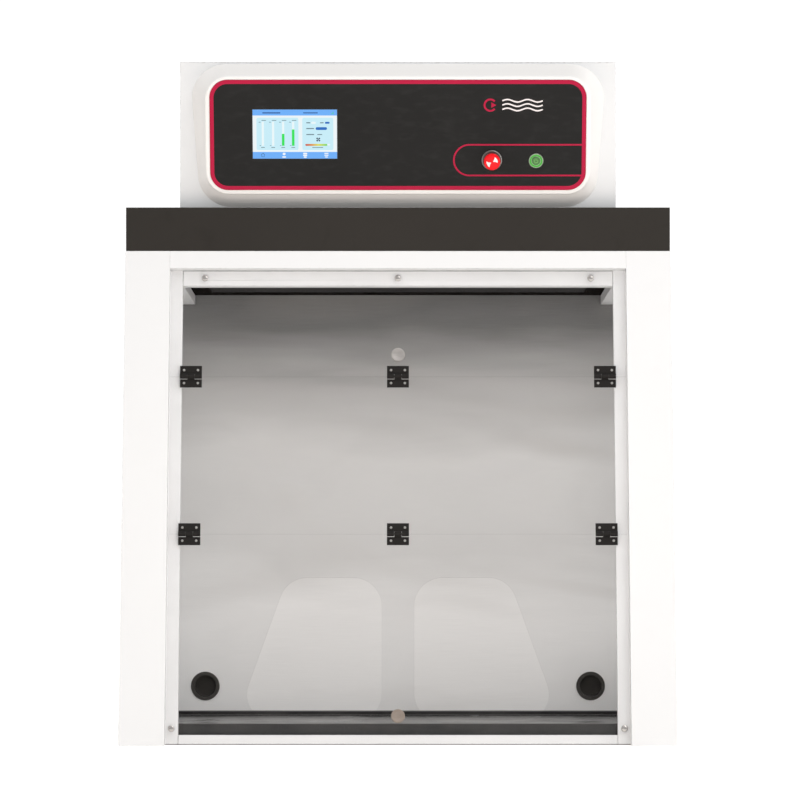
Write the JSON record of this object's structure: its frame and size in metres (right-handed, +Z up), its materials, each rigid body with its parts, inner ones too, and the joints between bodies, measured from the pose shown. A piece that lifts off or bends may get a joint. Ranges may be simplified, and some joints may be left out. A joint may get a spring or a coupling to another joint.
{
  "type": "fume hood",
  "caption": "Benchtop filtering fume hood with a raked folding acrylic front, hand ports, carbon filter band and a control head.",
  "frame": {"origin": "bottom centre of the cabinet, on the surface it stands on", "axes": "+Z up, the raked front faces -Y, +X to the right as seen from the front"},
  "size_m": [1, 0.62, 1.245],
  "materials": {
    "white_coat": "satin powder coat",
    "grey_coat": "satin powder coat",
    "band_coat": "fine textured powder coat",
    "wall_sheet": "satin sheet",
    "black_worktop": "smooth resin",
    "clear_acrylic": "polished",
    "black_rubber": "matt",
    "pod_white": "soft gloss",
    "overlay_black": "soft gloss",
    "trim_red": "satin",
    "display_screen": "glossy, lit",
    "button_red": "gloss",
    "button_green": "gloss",
    "black_plastic": "moulded",
    "zinc_sheet": "galvanised",
    "bright_steel": "polished",
    "disc_alloy": "satin",
    "hinge_black": "satin",
    "filter_media": "fibre pad",
    "board_green": "solder resist"
  },
  "bodies": {
    "cabinet": {"base_pan": "band_coat", "worktop": "black_worktop", "side_panel_left": "white_coat", "side_panel_right": "white_coat", "side_window_left": "clear_acrylic", "side_window_right": "clear_acrylic", "back_wall": "wall_sheet", "cable_port_left": "black_rubber", "cable_port_right": "black_rubber", "header_panel": "white_coat", "frame_strip_left": "grey_coat", "frame_strip_right": "grey_coat", "cross_bar": "grey_coat", "bottom_rail": "grey_coat", "deck_rail_left": "grey_coat", "deck_rail_right": "grey_coat", "ceiling_deck": "band_coat", "prefilter": "filter_media", "filter_housing": "band_coat", "carbon_filter": "filter_media", "filter_gasket": "black_rubber", "head_shell": "white_coat", "head_cover": "white_coat", "exhaust_guard": "bright_steel", "blower_plate": "zinc_sheet", "inlet_ring": "zinc_sheet", "fan_motor": "zinc_sheet", "motor_bracket": "zinc_sheet", "mains_inlet": "black_plastic", "power_supply": "zinc_sheet", "pod_bezel": "pod_white", "control_overlay": "overlay_black", "overlay_trim": "trim_red", "touch_display": "display_screen", "controller_board": "board_green", "estop_collar": "zinc_sheet", "power_collar": "button_green", "fixed_panel": "clear_acrylic", "magnet_disc": "disc_alloy", "clamp_screws": "bright_steel", "upper_hinge_fixed_leaves": "hinge_black", "upper_hinge_pins": "bright_steel", "fixed_leaf_screws": "bright_steel"},
    "upper_sash": {"middle_panel": "clear_acrylic", "upper_hinge_moving_leaves": "hinge_black", "lower_hinge_upper_leaves": "hinge_black", "lower_hinge_pins": "bright_steel", "middle_leaf_screws": "bright_steel"},
    "lower_sash": {"lower_panel": "clear_acrylic", "pull_knob": "disc_alloy", "catch_studs": "bright_steel", "lower_hinge_lower_leaves": "hinge_black", "lower_leaf_screws": "bright_steel"},
    "wheel": {"impeller": "black_plastic", "motor_shaft": "bright_steel"},
    "stop_plunger": {"estop_stem": "black_plastic"},
    "stop_head": {"estop_head": "button_red"},
    "power_cap": {"power_button": "button_green"}
  },
  "joints": [
    {"name": "upper_sash_lift", "type": "hinge", "parent": "cabinet", "child": "upper_sash", "pos_m": [0, -0.17402, 0.66278], "axis": [-1, 0, 0], "range_deg": [0, 170]},
    {"name": "lower_sash_fold", "type": "hinge", "parent": "upper_sash", "child": "lower_sash", "pos_m": [0, -0.22782, 0.3768], "axis": [1, 0, 0], "range_deg": [-180, 0]},
    {"name": "wheel_spin", "type": "hinge", "parent": "cabinet", "child": "wheel", "pos_m": [0, 0.0965, 1.05], "axis": [0, 0, 1], "continuous": true},
    {"name": "stop_press", "type": "slide", "parent": "cabinet", "child": "stop_plunger", "axis": [0, 0.9726, 0.2326], "range_m": [0, 0.004]},
    {"name": "stop_twist", "type": "hinge", "parent": "stop_plunger", "child": "stop_head", "pos_m": [0.1724, -0.1436, 1.05744], "axis": [0, 0.9726, 0.2326], "range_deg": [0, 45]},
    {"name": "power_press", "type": "slide", "parent": "cabinet", "child": "power_cap", "axis": [0, 0.9726, 0.2326], "range_m": [0, 0.0025], "stiffness_N_per_m": 400}
  ]
}
